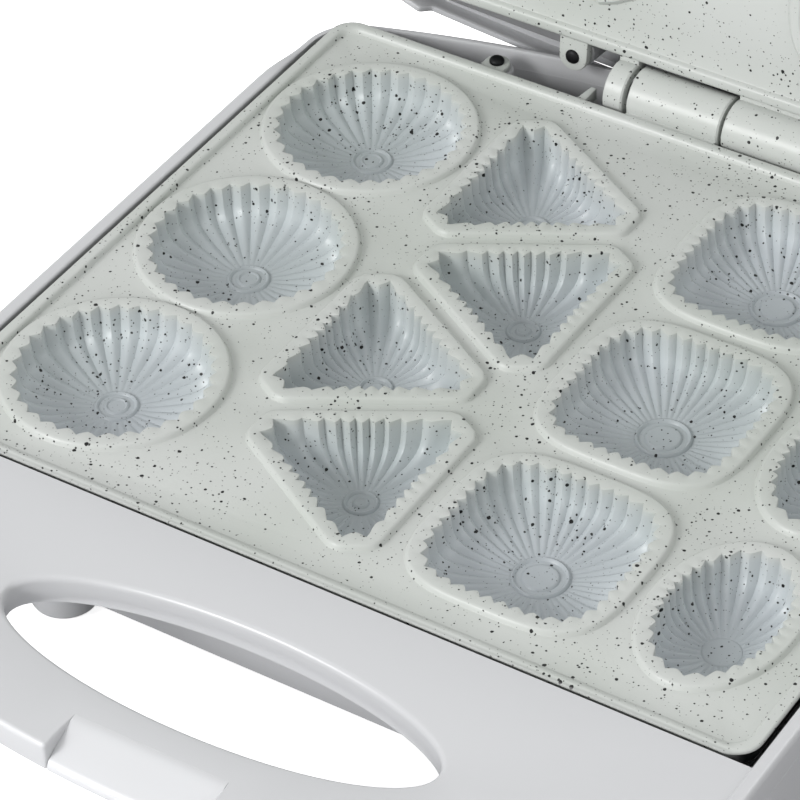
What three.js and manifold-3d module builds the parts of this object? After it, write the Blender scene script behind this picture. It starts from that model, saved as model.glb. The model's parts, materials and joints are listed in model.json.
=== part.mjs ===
// Electric clamshell tartlet maker, lid open: two die-cast baking plates in plastic housings,
// joined by cast hinge barrels on one steel rod. Millimetres, +Z up, +X to the right, +Y to the back.
// Layout frame: X from the middle of the plates, Y from the lower plate's front edge,
// Z from the parting plane, where the two plates meet when the lid is shut.
import * as THREE from 'three'
import { mergeVertices } from 'three/addons/utils/BufferGeometryUtils.js'
import Module from 'manifold-3d'

const wasm = await Module()
wasm.setup()

// ---- driving dimensions ----
const PLATE = { width: 280, depth: 236.5, corner: 8, thick: 4, rim: 5.2, step: 2, innerCorner: 7 }
const LAND = 4                    // flat border of each mould, outside the flutes
const CUP_WALL = 2.5
const DISH = 3.5                  // depth of the upper plate's dished moulds
const COLUMNS = { round: -99.7, triangleLeft: -38.4, triangleRight: -14.2, square: 47.8, oval: 106.5 }
const PITCH = 71.15
const TRIANGLE_PITCH = 46.13
const FIT = 0.3                   // gap between pieces that touch
const PARTING_GAP = 1             // between the two plates when the lid is shut
const SIDE_GAP = 1.6              // between a plate and the rim of its housing
const HOUSING = { rim: 4.9, wall: 2.5, behind: 28.5, bowRise: 28.76, corner: 14 }
const BASE = { rimZ: -0.5, backZ: -4, bottomZ: -48, frontY: -1.4, taper: 2 }
const LID = { rimZ: 1.5, topZ: 47, crown: 9, taper: 5, openAngle: 96 }
const LEDGE_THICK = 4.7
const HANDLE = { frontY: -92.2, bowRise: 30.69, corner: 24, topZ: -1.5, thick: 9.5, skin: 3, cover: 2 }
const GRIP = { fromFront: 46.6, halfX: 70.8, halfY: 21.2 }
const CATCH = { halfX: 25, length: 14.9, lip: 1.2, drop: 6.5, block: 9 }
const HINGE = { clear: 1.25, barrel: 9.35, rod: 3, armTop: -0.6, armBottom: -5 }
const BARREL = { inner: 1.3, outer: 33.8, hookFrom: 35.6, hookTo: 46.6, endGap: 0.7, roundGap: 0.8 }
const LUG = { wide: 85, near: 60, radius: 6, behind: 6.5, hole: 2.6, thick: 4, topZ: -1 }
const LUG_SCREW = { length: 16, pilot: 1.9 }
const RELIEF = { fromSide: 28.5, clear: 6 }
const FOOT = { fromSide: 43.2, fromFront: 11, fromBack: 14.5, top: 10.5, bottom: 9.5, height: 15 }
const PAD = { radius: 8, thick: 2 }
const LATCH = { fromFront: 5.7, pinZ: 8, sideGap: 2, pin: 1.5, swing: 40, notch: 8 }
const ELEMENT = { radius: 3, below: 2, leftX: -63.4, rightX: 82.7, fromFront: 9, fromBack: 10.5, bend: 12 }
const TAIL_ROOM = 1.2             // round the element's ends, where they pass the housing's ribs
const SHIELD = { lowerZ: -30, upperZ: 26, lip: 8, thick: 1, inset: 12 }
const GLAND = { z: -30, bore: 3.6, neck: 5.8, flange: 8.5 }
const TERMINALS = { x: 20, behind: 3.5, halfX: 18, halfY: 7, tall: 12 }
const THERMOSTAT = { x: 12, radius: 7, topZ: -20, tall: 8, post: 3.6 }
const FUSE = { radius: 2, long: 16, step: 24 }
const LAMP = { y: 38, x: 14, hole: 3.4 }
const COVER = { thick: 2.2, screwFromSide: 28, screwFromFront: 24, screwFromBack: 30.5, screwLong: 9 }

// ---- places that follow from them ----
const HALF_W = PLATE.width / 2 + SIDE_GAP + HOUSING.rim
const MID_Y = PLATE.depth / 2
const UNDER = -PLATE.thick - PLATE.step         // underside of the lower plate
const BACK_Y = PLATE.depth + HOUSING.behind     // middle of the bowed back wall
const BACK_BOW = HOUSING.bowRise / HALF_W ** 2
const FRONT_BOW = HANDLE.bowRise / HALF_W ** 2
const GROUND_Z = BASE.bottomZ - FOOT.height
const GRIP_Y = HANDLE.frontY + GRIP.fromFront
const CATCH_Y = HANDLE.frontY + CATCH.length
const PIN_Y = HANDLE.frontY + LATCH.fromFront
const LATCH_HALF = CATCH.halfX - LATCH.sideGap
const HINGE_Y = PLATE.depth + HINGE.barrel + HINGE.clear
const HINGE_Z = PARTING_GAP / 2
const LUG_Y = PLATE.depth + LUG.behind
const ELEMENT_Z = UNDER - ELEMENT.below - ELEMENT.radius
const UPPER_ELEMENT_Z = PARTING_GAP - UNDER + FIT + ELEMENT.radius
const ELEMENT_BACK = PLATE.depth - ELEMENT.fromBack
const TERMINALS_Y = PLATE.depth + TERMINALS.behind
const TERMINALS_Z = BASE.bottomZ + COVER.thick + FIT
const UPPER_DECK_Z = PARTING_GAP - HANDLE.topZ
const COVER_SCREW_X = PLATE.width / 2 - COVER.screwFromSide
const COVER_SCREWS = [COVER.screwFromFront, PLATE.depth - COVER.screwFromBack].flatMap(y => (
  [[-COVER_SCREW_X, y], [COVER_SCREW_X, y]]
))

// ---- colours ----
const SHADES = {
  coating: [0xc9cdc8, 0.45, 0.0], shell: [0xd4d6d8, 0.4, 0.0], dark: [0x17181a, 0.5, 0.0],
  steel: [0xb9bbbd, 0.3, 1.0], tin: [0xa9acae, 0.45, 1.0], rubber: [0x2a2b2c, 0.9, 0.0],
  ceramic: [0xe6e2d8, 0.7, 0.0], red: [0xc4321f, 0.2, 0.0], green: [0x2f9a4a, 0.2, 0.0],
}

function material(name) {
  const [color, roughness, metalness] = SHADES[name]
  return new THREE.MeshStandardMaterial({ color, roughness, metalness })
}

// ---- solids ----
function solid(geometry) {
  const bare = geometry.index ? geometry.toNonIndexed() : geometry.clone()
  bare.deleteAttribute('normal')
  bare.deleteAttribute('uv')
  const merged = mergeVertices(bare, 1e-4)
  return new wasm.Manifold(new wasm.Mesh({
    numProp: 3,
    vertProperties: new Float32Array(merged.attributes.position.array),
    triVerts: new Uint32Array(merged.index.array),
  }))
}

function geometryOf(body) {
  const mesh = body.getMesh()
  const geometry = new THREE.BufferGeometry()
  geometry.setAttribute('position', new THREE.BufferAttribute(new Float32Array(mesh.vertProperties), 3))
  geometry.setIndex(new THREE.BufferAttribute(new Uint32Array(mesh.triVerts), 1))
  geometry.computeVertexNormals()
  return geometry
}

function joined(pieces) {
  return pieces.reduce((whole, piece) => whole.add(piece))
}

function cut(body, tools) {
  return tools.reduce((rest, tool) => rest.subtract(tool), body)
}

function box(x0, x1, y0, y1, z0, z1) {
  const geometry = new THREE.BoxGeometry(x1 - x0, y1 - y0, z1 - z0)
  return solid(geometry.translate((x0 + x1) / 2, (y0 + y1) / 2, (z0 + z1) / 2))
}

// A round bar along X, Y or Z, from one end to the other.
function bar(axis, radius, from, to, a, b, sides = 20, radiusTo = radius) {
  const geometry = new THREE.CylinderGeometry(radiusTo, radius, to - from, sides)
  const middle = (from + to) / 2
  if (axis === 'x') geometry.rotateZ(-Math.PI / 2).translate(middle, a, b)
  if (axis === 'y') geometry.translate(a, middle, b)
  if (axis === 'z') geometry.rotateX(Math.PI / 2).translate(a, b, middle)
  return solid(geometry)
}

// A side profile, given as [Y, Z] points, carried along X from -half to half.
function crosswise(profile, half) {
  const shape = new THREE.Shape(profile.map(([y, z]) => new THREE.Vector2(y, z)))
  const geometry = new THREE.ExtrudeGeometry(shape, { depth: 2 * half, bevelEnabled: false })
  return solid(geometry.rotateX(Math.PI / 2).rotateZ(Math.PI / 2).translate(-half, 0, 0))
}

function prism(points, z0, z1) {
  const settings = { depth: z1 - z0, bevelEnabled: false }
  return solid(new THREE.ExtrudeGeometry(new THREE.Shape(points), settings).translate(0, 0, z0))
}

// A closed body through rings of equally many points, given from the lowest ring to the highest.
function loft(rings) {
  const count = rings[0].points.length
  const places = []
  const faces = []
  for (const ring of rings) for (const p of ring.points) places.push(p.x, p.y, ring.z)
  for (let level = 0; level < rings.length - 1; level++) {
    for (let i = 0; i < count; i++) {
      const a = level * count + i
      const b = level * count + (i + 1) % count
      faces.push(a, b, b + count, a, b + count, a + count)
    }
  }
  const last = (rings.length - 1) * count
  for (const [p, q, r] of THREE.ShapeUtils.triangulateShape(rings[0].points, [])) faces.push(r, q, p)
  for (const [p, q, r] of THREE.ShapeUtils.triangulateShape(rings.at(-1).points, [])) {
    faces.push(last + p, last + q, last + r)
  }
  const geometry = new THREE.BufferGeometry()
  geometry.setAttribute('position', new THREE.Float32BufferAttribute(places, 3))
  geometry.setIndex(faces)
  return solid(geometry)
}

// ---- outlines ----
function roundedBox(x0, x1, y0, y1, r) {
  const path = new THREE.Path()
  path.moveTo(x0 + r, y0)
  path.lineTo(x1 - r, y0)
  path.absarc(x1 - r, y0 + r, r, -Math.PI / 2, 0)
  path.lineTo(x1, y1 - r)
  path.absarc(x1 - r, y1 - r, r, 0, Math.PI / 2)
  path.lineTo(x0 + r, y1)
  path.absarc(x0 + r, y1 - r, r, Math.PI / 2, Math.PI)
  path.lineTo(x0, y0 + r)
  path.absarc(x0 + r, y0 + r, r, Math.PI, Math.PI * 1.5)
  return path.getPoints(4).filter((p, i, all) => p.distanceTo(all[(i + 1) % all.length]) > 1e-3)
}

function plateOutline(grow) {
  const half = PLATE.width / 2 + grow
  return roundedBox(-half, half, -grow, PLATE.depth + grow, PLATE.corner + grow)
}

// The plan of both housings: straight front and sides, a bowed back and soft corners.
function bodyOutline(inset) {
  const side = HALF_W - inset
  const front = BASE.frontY + inset
  const r = HOUSING.corner
  const backAt = x => BACK_Y - inset - BACK_BOW * x * x
  const turn = side - r
  const path = new THREE.Path()
  path.moveTo(-side + 2, front)
  path.lineTo(side - 2, front)
  path.lineTo(side, front + 2)
  path.lineTo(side, backAt(side) - r)
  path.quadraticCurveTo(side, backAt(side), turn, backAt(turn))
  path.quadraticCurveTo(0, backAt(0) + BACK_BOW * turn * turn, -turn, backAt(turn))
  path.quadraticCurveTo(-side, backAt(side), -side, backAt(side) - r)
  path.lineTo(-side, front + 2)
  return path.getPoints(8)
}

// The plan of both handles: a shelf in front of the body with a bowed front edge.
function handleOutline(inset) {
  const side = HALF_W - inset
  const frontAt = x => HANDLE.frontY + inset + FRONT_BOW * x * x
  const r = HANDLE.corner
  const turn = side - r
  const path = new THREE.Path()
  path.moveTo(side, BASE.frontY + 1 - inset)
  path.lineTo(-side, BASE.frontY + 1 - inset)
  path.lineTo(-side, frontAt(side) + r)
  path.quadraticCurveTo(-side, frontAt(side), -turn, frontAt(turn))
  path.quadraticCurveTo(0, frontAt(0) - FRONT_BOW * turn * turn, turn, frontAt(turn))
  path.quadraticCurveTo(side, frontAt(side), side, frontAt(side) + r)
  return path.getPoints(8)
}

function gripOutline(grow) {
  const points = []
  for (let i = 0; i < 32; i++) {
    const angle = i / 32 * 2 * Math.PI
    const x = (GRIP.halfX + grow) * Math.cos(angle)
    const y = GRIP_Y + (GRIP.halfY + grow) * Math.sin(angle)
    points.push(new THREE.Vector2(x, y))
  }
  return points
}

// ---- moulds: each kind gives the distance from its middle to its edge at an angle ----
function superellipse(a, b, power) {
  return angle => {
    const across = Math.abs(Math.cos(angle) / a) ** power
    return (across + Math.abs(Math.sin(angle) / b) ** power) ** (-1 / power)
  }
}

// A triangle with cut corners; reach is the distance to a side, corner the one to a cut corner.
function triangle(reach, corner) {
  return angle => {
    const third = 2 * Math.PI / 3
    const turned = ((angle - Math.PI) % third + third) % third
    const fromCorner = Math.min(turned, third - turned)
    return Math.min(corner / Math.cos(fromCorner), reach / Math.cos(Math.PI / 3 - fromCorner))
  }
}

const KINDS = {
  round: { edge: superellipse(30.9, 30.9, 2), depth: 14.5 },
  triangle: { edge: triangle(19.6, 32.2), depth: 16 },
  square: { edge: superellipse(29.2, 29.2, 3.97), depth: 15 },
  oval: { edge: superellipse(18, 28, 2), depth: 15.5 },
}

function mouldPlaces() {
  const places = []
  for (const row of [-1, 0, 1]) {
    const y = MID_Y + row * PITCH
    for (const kind of ['round', 'square', 'oval']) places.push({ kind, x: COLUMNS[kind], y, turn: 0 })
  }
  for (const row of [-1.5, -0.5, 0.5, 1.5]) {
    const pointsLeft = row === -1.5 || row === 0.5
    const x = pointsLeft ? COLUMNS.triangleRight : COLUMNS.triangleLeft
    places.push({ kind: 'triangle', x, y: MID_Y + row * TRIANGLE_PITCH, turn: pointsLeft ? 0 : Math.PI })
  }
  return places
}

function mouldRing(place, grow, count = 20) {
  const edge = KINDS[place.kind].edge
  const points = []
  for (let i = 0; i < count; i++) {
    const angle = (i + 0.5) / count * 2 * Math.PI
    const reach = edge(angle) + grow
    const x = place.x + reach * Math.cos(angle + place.turn)
    points.push(new THREE.Vector2(x, place.y + reach * Math.sin(angle + place.turn)))
  }
  return points
}

function scaledRing(place, share, count) {
  return mouldRing(place, 0, count).map(p => new THREE.Vector2(
    place.x + (p.x - place.x) * share, place.y + (p.y - place.y) * share))
}

// ---- baking plates ----
function mouldCavity(place) {
  const depth = KINDS[place.kind].depth
  return loft([
    { z: -depth, points: scaledRing(place, 0.55, 20) },
    { z: -depth * 0.8, points: scaledRing(place, 0.8, 20) },
    { z: 1, points: mouldRing(place, 0) },
  ])
}

function mouldCup(place) {
  const depth = KINDS[place.kind].depth
  return loft([
    { z: -depth - CUP_WALL, points: scaledRing(place, 0.72, 14) },
    { z: UNDER, points: mouldRing(place, CUP_WALL - 0.5, 14) },
    { z: UNDER + 1, points: mouldRing(place, CUP_WALL - 0.5, 14) },
  ])
}

// The slab of a plate with its raised border and the lands around the moulds, face at z = 0.
function plateSlab() {
  const slab = prism(plateOutline(0), UNDER, 0)
  const half = PLATE.width / 2 - PLATE.rim
  const inside = roundedBox(-half, half, PLATE.rim, PLATE.depth - PLATE.rim, PLATE.innerCorner)
  const field = prism(inside, -PLATE.step, 1)
  const lands = joined(mouldPlaces().map(place => prism(mouldRing(place, LAND), -PLATE.step - 1, 0)))
  return cut(slab, [field]).add(lands)
}

function roundLug(x, z0, z1) {
  const tab = bar('z', LUG.radius, z0, z1, x, LUG_Y, 20)
  return tab.add(box(x - LUG.radius, x + LUG.radius, PLATE.depth - 1, LUG_Y, z0, z1))
}

// The stretches in X of the barrel and of the hook on one side; the other plate has them mirrored.
function knuckleStretches(sign, gap) {
  const { inner, outer, hookFrom, hookTo } = BARREL
  return [[sign * inner, sign * outer], [-sign * hookFrom, -sign * hookTo]].map(([a, b]) => (
    [Math.min(a, b) - gap, Math.max(a, b) + gap]
  ))
}

// Barrel and hook of one plate, each on an arm from the plate's back edge.
function knuckles(sign, up) {
  const { armBottom, armTop, barrel } = HINGE
  const arm = up ? [PARTING_GAP - armTop, PARTING_GAP - armBottom] : [armBottom, armTop]
  return joined(knuckleStretches(sign, 0).map(([x0, x1]) => (
    bar('x', barrel, x0, x1, HINGE_Y, HINGE_Z, 24).add(box(x0, x1, PLATE.depth - 1, HINGE_Y, ...arm))
  )))
}

// Room in one plate's edge for the barrels of the other plate.
function knuckleRoom(sign) {
  return knuckleStretches(sign, BARREL.endGap).map(([x0, x1]) => (
    bar('x', HINGE.barrel + BARREL.roundGap, x0, x1, HINGE_Y, HINGE_Z, 24)
  ))
}

function rodBore() {
  return bar('x', HINGE.rod + FIT, -HALF_W, HALF_W, HINGE_Y, HINGE_Z, 16)
}

function lowerPlate() {
  const places = mouldPlaces()
  const cups = joined(places.map(mouldCup))
  const lugs = joined([-LUG.wide, LUG.near].map(x => roundLug(x, LUG.topZ - LUG.thick, LUG.topZ)))
  const { x, post, topZ } = THERMOSTAT
  const posts = joined([MID_Y, MID_Y - FUSE.step].map(y => bar('z', post, topZ, UNDER + 0.5, x, y, 12)))
  const below = LUG.topZ - LUG.thick - 4
  const holes = [-LUG.wide, LUG.near].map(at => bar('z', LUG.hole, below, 2, at, LUG_Y, 16))
  const body = joined([plateSlab(), cups, lugs, posts, knuckles(-1, false)])
  return cut(body, [...places.map(mouldCavity), ...holes, ...knuckleRoom(1), rodBore()])
}

// The upper plate carries the same lands, mirrored, with shallow smooth dishes.
function upperPlate() {
  const places = mouldPlaces()
  const dishes = places.map(place => loft([
    { z: -DISH, points: scaledRing(place, 0.6, 20) },
    { z: 1, points: mouldRing(place, -0.5) },
  ]))
  const face = cut(plateSlab(), dishes).mirror([0, 0, 1]).translate([0, 0, PARTING_GAP])
  const z0 = PARTING_GAP - LUG.topZ
  const lugs = joined([-LUG.near, LUG.wide].map(x => roundLug(x, z0, z0 + LUG.thick)))
  const holes = [-LUG.near, LUG.wide].map(x => bar('z', LUG.hole, -1, z0 + LUG.thick + 6, x, LUG_Y, 16))
  const body = joined([face, lugs, knuckles(1, true)])
  return cut(body, [...holes, ...knuckleRoom(-1), rodBore()])
}

// ---- housings ----
function handleShell(z0, z1, skinAtTop) {
  const outer = prism(handleOutline(0), z0, z1)
  const inner = [z0 + (skinAtTop ? -1 : HANDLE.skin), z1 + (skinAtTop ? -HANDLE.skin : 1)]
  const hollow = prism(handleOutline(HANDLE.skin), ...inner)
  const gripWall = prism(gripOutline(HANDLE.skin), z0, z1)
  const blockHalf = CATCH.halfX + CATCH.block
  const catchBlock = box(-blockHalf, blockHalf, HANDLE.frontY - 5, CATCH_Y + 2, z0, z1)
  const kept = cut(hollow, [gripWall, catchBlock])
  return cut(outer, [kept, prism(gripOutline(0), z0 - 1, z1 + 1)])
}

function handleCover(z0, z1) {
  const outer = prism(handleOutline(HANDLE.skin + FIT), z0, z1)
  const blockHalf = CATCH.halfX + CATCH.block + FIT
  const catchBlock = box(-blockHalf, blockHalf, HANDLE.frontY - 5, CATCH_Y + 2 + FIT, z0 - 1, z1 + 1)
  return cut(outer, [prism(gripOutline(HANDLE.skin + FIT), z0 - 1, z1 + 1), catchBlock])
}

// Front ramp in the lower handle, under the latch.
function catchRamp() {
  const top = HANDLE.topZ
  const below = top - HANDLE.thick - 2.5
  const lipY = HANDLE.frontY + CATCH.lip
  const profile = [
    [CATCH_Y, top], [CATCH_Y, top + 2], [HANDLE.frontY - 5, top + 2], [HANDLE.frontY - 5, below],
    [lipY, below], [lipY, top - CATCH.drop],
  ]
  return crosswise(profile, CATCH.halfX)
}

function supportLedge(z0, z1) {
  const half = PLATE.width / 2 - 3
  const outer = prism(bodyOutline(HOUSING.wall - 0.5), z0, z1)
  const inner = prism(roundedBox(-half, half, 3.5, BACK_Y + 135, 6), z0 - 1, z1 + 1)
  return cut(outer, [inner])
}

// The opening of a housing's rim, which follows the sides and, behind, the bowed back wall.
function rimMouth(z0, z1) {
  const half = HALF_W - HOUSING.rim
  const straight = prism(roundedBox(-half, half, -FIT, BACK_Y + 135, 9), z0, z1)
  return straight.intersect(prism(bodyOutline(HOUSING.wall), z0, z1))
}

function lowerHousing() {
  const { rimZ, backZ, bottomZ, taper } = BASE
  const ledgeZ = UNDER - FIT
  const wide = HALF_W + 5
  const outer = loft([{ z: bottomZ, points: bodyOutline(taper) }, { z: rimZ, points: bodyOutline(0) }])
  const inner = loft([
    { z: bottomZ - 1, points: bodyOutline(taper + HOUSING.wall) },
    { z: UNDER, points: bodyOutline(HOUSING.wall + 0.5) },
  ])
  const behind = box(-wide, wide, MID_Y, BACK_Y + 35, backZ, 1)
  const sideKeep = box(-wide, wide, -20, PLATE.depth - 26, backZ - 1, 2)
  const shell = cut(outer, [inner, rimMouth(UNDER - 1, 1), cut(behind, [sideKeep])])
  const deck = handleShell(HANDLE.topZ - HANDLE.thick, HANDLE.topZ, true)
  const bossTop = LUG.topZ - LUG.thick - FIT
  const bossFoot = bottomZ + 3
  const bosses = joined([-LUG.wide, LUG.near].map(x => ribbedBoss(x, bossFoot, bossTop, bossFoot, -14)))
  const ledge = supportLedge(ledgeZ - LEDGE_THICK, ledgeZ)
  const gland = bar('y', GLAND.neck + FIT, BACK_Y - 12, BACK_Y + 9, 0, GLAND.z, 20)
  const plateRoom = prism(plateOutline(FIT), ledgeZ, 1)
  const levelled = shell.subtract(box(-wide, wide, -2, BASE.frontY + 1.6, HANDLE.topZ, 1))
  const body = joined([levelled, deck, ledge, bosses.intersect(outer)])
  const screws = lugScrewHoles(-LUG.wide, LUG.near, -30, -4)
  return cut(body, [plateRoom, catchRamp(), gland, elementTails(ELEMENT_Z), ...screws])
}

// A round boss under a plate's lug, tied to the back wall by a rib.
function ribbedBoss(x, z0, z1, ribZ0, ribZ1) {
  const post = bar('z', LUG.radius - 0.5, z0, z1, x, LUG_Y, 16)
  return post.add(box(x - 1.2, x + 1.2, LUG_Y, BACK_Y, ribZ0, ribZ1))
}

function lugScrewHoles(xa, xb, z0, z1) {
  return [xa, xb].map(x => bar('z', LUG_SCREW.pilot, z0, z1, x, LUG_Y, 12))
}

// How high above the parting plane the lid's back wall starts at x.
function reliefHeight(x) {
  const behind = BACK_Y - BACK_BOW * x * x - HINGE_Y
  return HINGE_Z + Math.max(behind, 0) + RELIEF.clear
}

// The cut in the lid's back wall that lets it pass the base's back wall as it opens.
function reliefCut() {
  const half = HALF_W - RELIEF.fromSide
  const profile = [new THREE.Vector2(-half, -2)]
  for (let i = 0; i <= 12; i++) {
    const x = -half + i / 12 * 2 * half
    profile.push(new THREE.Vector2(x, reliefHeight(x)))
  }
  profile.push(new THREE.Vector2(half, -2))
  const geometry = new THREE.ExtrudeGeometry(new THREE.Shape(profile), { depth: 60, bevelEnabled: false })
  return solid(geometry.rotateX(Math.PI / 2).translate(0, BACK_Y + 35, 0))
}

function lidHousing() {
  const { rimZ, topZ, crown, taper } = LID
  const backing = PARTING_GAP - UNDER
  const deckZ = UPPER_DECK_Z
  const wide = HALF_W + 5
  const outer = loft([
    { z: rimZ, points: bodyOutline(0) },
    { z: topZ - crown, points: bodyOutline(taper) },
    { z: topZ - crown * 0.3, points: bodyOutline(taper + crown * 0.35) },
    { z: topZ, points: bodyOutline(taper + crown) },
  ])
  const inner = loft([
    { z: backing, points: bodyOutline(HOUSING.wall + 0.5) },
    { z: topZ - crown - 1, points: bodyOutline(taper + HOUSING.wall) },
    { z: topZ - HOUSING.wall, points: bodyOutline(taper + crown) },
  ])
  const deck = handleShell(deckZ, deckZ + HANDLE.thick, false)
  const notchHalf = CATCH.halfX + 0.5
  const notchTop = deckZ + HANDLE.thick + 8
  const notch = box(-notchHalf, notchHalf, HANDLE.frontY - 5, PIN_Y + LATCH.notch - 2, -1, notchTop)
  const pinEnd = CATCH.halfX + 5.5
  const pinHole = bar('x', LATCH.pin + FIT / 2, -pinEnd, pinEnd, PIN_Y, LATCH.pinZ, 12)
  const bossZ = PARTING_GAP - LUG.topZ + LUG.thick + FIT
  const bosses = joined([-LUG.near, LUG.wide].map(x => (
    ribbedBoss(x, bossZ, topZ - 4, reliefHeight(x) + 4, topZ - 4)
  )))
  const lamps = lampPlaces().map(x => bar('z', LAMP.hole, topZ - 6, topZ + 4, x, LAMP.y, 16))
  const ledge = supportLedge(backing + FIT, backing + FIT + LEDGE_THICK)
  const plateRoom = prism(plateOutline(FIT), -1, backing + FIT)
  const frontRoom = box(-wide, wide, -2, BASE.frontY + 1.6, 0, deckZ)
  const levelled = cut(outer, [inner, rimMouth(-1, backing + 1), frontRoom])
  const body = joined([levelled, deck, ledge]).subtract(reliefCut()).add(bosses.intersect(outer))
  const screws = lugScrewHoles(-LUG.near, LUG.wide, 5, 30)
  return cut(body, [plateRoom, notch, pinHole, ...lamps, ...screws, elementTails(UPPER_ELEMENT_Z)])
}

// ---- hinge rod, screws, feet, covers ----
function hingeRod() {
  const end = BARREL.hookTo + 2
  return bar('x', HINGE.rod, -end, end, HINGE_Y, HINGE_Z, 16)
}

function screw(x, y, seatZ, length, up) {
  const way = up ? 1 : -1
  const ends = (a, b) => [Math.min(a, b), Math.max(a, b)]
  const [h0, h1] = ends(seatZ, seatZ - way * 1.6)
  const [s0, s1] = ends(seatZ - way * 0.5, seatZ + way * length)
  return bar('z', 4, h0, h1, x, y, 16).add(bar('z', 1.5, s0, s1, x, y, 10))
}

function foot(x, y) {
  return bar('z', FOOT.bottom, GROUND_Z + PAD.thick + FIT, BASE.bottomZ - FIT, x, y, 20, FOOT.top)
}

function footPad(x, y) {
  return bar('z', PAD.radius, GROUND_Z, GROUND_Z + PAD.thick, x, y, 20)
}

function baseCover() {
  const { bottomZ, taper } = BASE
  const plate = prism(bodyOutline(taper + HOUSING.wall + 0.5), bottomZ, bottomZ + COVER.thick)
  return cut(plate, COVER_SCREWS.map(([x, y]) => bar('z', 1.8, bottomZ - 1, bottomZ + 4, x, y, 12)))
}

// ---- inside the halves ----
function tubeAlong(points, radius, steps, sides = 8) {
  const curve = new THREE.CatmullRomCurve3(points, false, 'centripetal')
  const shape = new THREE.Shape()
  for (let i = 0; i < sides; i++) {
    const angle = (i + 0.5) / sides * 2 * Math.PI
    const x = radius * Math.cos(angle)
    const y = radius * Math.sin(angle)
    if (i === 0) shape.moveTo(x, y)
    else shape.lineTo(x, y)
  }
  return solid(new THREE.ExtrudeGeometry(shape, { steps, bevelEnabled: false, extrudePath: curve }))
}

function heatingLoop(z) {
  const { leftX, rightX, bend } = ELEMENT
  const frontY = ELEMENT.fromFront
  const soft = bend * 0.3
  return tubeAlong([
    [leftX, ELEMENT_BACK], [leftX, MID_Y], [leftX, frontY + bend], [leftX + soft, frontY + soft],
    [leftX + bend, frontY], [0, frontY], [rightX - bend, frontY], [rightX - soft, frontY + soft],
    [rightX, frontY + bend], [rightX, MID_Y], [rightX, ELEMENT_BACK],
  ].map(([x, y]) => new THREE.Vector3(x, y, z)), ELEMENT.radius, 44)
}

// Room for the element's ends, which run on to the back.
function elementTails(z) {
  const room = ELEMENT.radius + TAIL_ROOM
  const [y0, y1] = [ELEMENT_BACK - 26, ELEMENT_BACK + 6]
  return joined([ELEMENT.leftX, ELEMENT.rightX].map(x => bar('y', room, y0, y1, x, z, 12)))
}

function heatShield(floorZ, lipZ) {
  const half = PLATE.width / 2 - SHIELD.inset
  const backY = PLATE.depth - SHIELD.inset
  const outline = grow => roundedBox(-half - grow, half + grow, SHIELD.inset - grow, backY + grow, 8)
  const z = [Math.min(floorZ, lipZ), Math.max(floorZ, lipZ)]
  const hollow = floorZ < lipZ ? [floorZ + SHIELD.thick, lipZ + 1] : [lipZ - 1, floorZ - SHIELD.thick]
  return cut(prism(outline(0), ...z), [prism(outline(-SHIELD.thick), ...hollow)])
}

// Grommet in the middle of the back wall, for the supply cord.
function cordGland() {
  const flange = bar('y', GLAND.flange, BACK_Y + FIT, BACK_Y + 3.2, 0, GLAND.z, 20)
  const neck = bar('y', GLAND.neck, BACK_Y - 8, BACK_Y + 1, 0, GLAND.z, 20)
  return cut(flange.add(neck), [bar('y', GLAND.bore, BACK_Y - 9, BACK_Y + 9, 0, GLAND.z, 16)])
}

function terminalBlock() {
  const { x, halfX, halfY, tall } = TERMINALS
  const y = TERMINALS_Y
  const z = TERMINALS_Z
  const block = box(x - halfX, x + halfX, y - halfY, y + halfY, z, z + tall)
  const slots = [-12, 0, 12].map(step => bar('z', 2, z + tall - 6, z + tall + 1, x + step, y, 10))
  return cut(block, slots)
}

function lampPlaces() {
  return [-LAMP.x, LAMP.x]
}

function lampLens(x) {
  const stem = bar('z', LAMP.hole - 0.4, LID.topZ - 5, LID.topZ + 1, x, LAMP.y, 16)
  return stem.add(bar('z', LAMP.hole + 1.2, LID.topZ + FIT, LID.topZ + 2.2, x, LAMP.y, 20, LAMP.hole))
}

function lampHolder() {
  const z = LID.topZ - 5 - FIT
  return box(-LAMP.x - 6, LAMP.x + 6, LAMP.y - 5, LAMP.y + 5, z - 6, z)
}

// Insulated leads inside the base: supply to thermostat, and supply to the heating element's end.
function lead(points) {
  return tubeAlong(points.map(p => new THREE.Vector3(...p)), 1.3, 12, 6)
}

function thermostatLead() {
  const top = TERMINALS_Z + TERMINALS.tall
  const { x } = TERMINALS
  const y = TERMINALS_Y
  return lead([
    [x - 12, y, top + 0.5], [x - 13, y - 6, top + 6], [THERMOSTAT.x, y - 18, -19],
    [THERMOSTAT.x, MID_Y + 61.75, -20], [THERMOSTAT.x, MID_Y + 9, -24],
  ])
}

function elementLead() {
  const top = TERMINALS_Z + TERMINALS.tall
  const { x } = TERMINALS
  const y = TERMINALS_Y
  return lead([
    [x + 12, y, top + 0.5], [x + 17, y - 7, top + 4], [x + 42, y - 9, -18],
    [ELEMENT.rightX, ELEMENT_BACK + 2, ELEMENT_Z],
  ])
}

function thermostat() {
  const { x, radius, topZ, tall } = THERMOSTAT
  return bar('z', radius, topZ - tall, topZ - FIT, x, MID_Y, 20)
}

function thermalFuse() {
  const { x, topZ } = THERMOSTAT
  const y = MID_Y - FUSE.step
  return bar('y', FUSE.radius, y - FUSE.long / 2, y + FUSE.long / 2, x, topZ - FIT - FUSE.radius - 0.2, 12)
}

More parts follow.
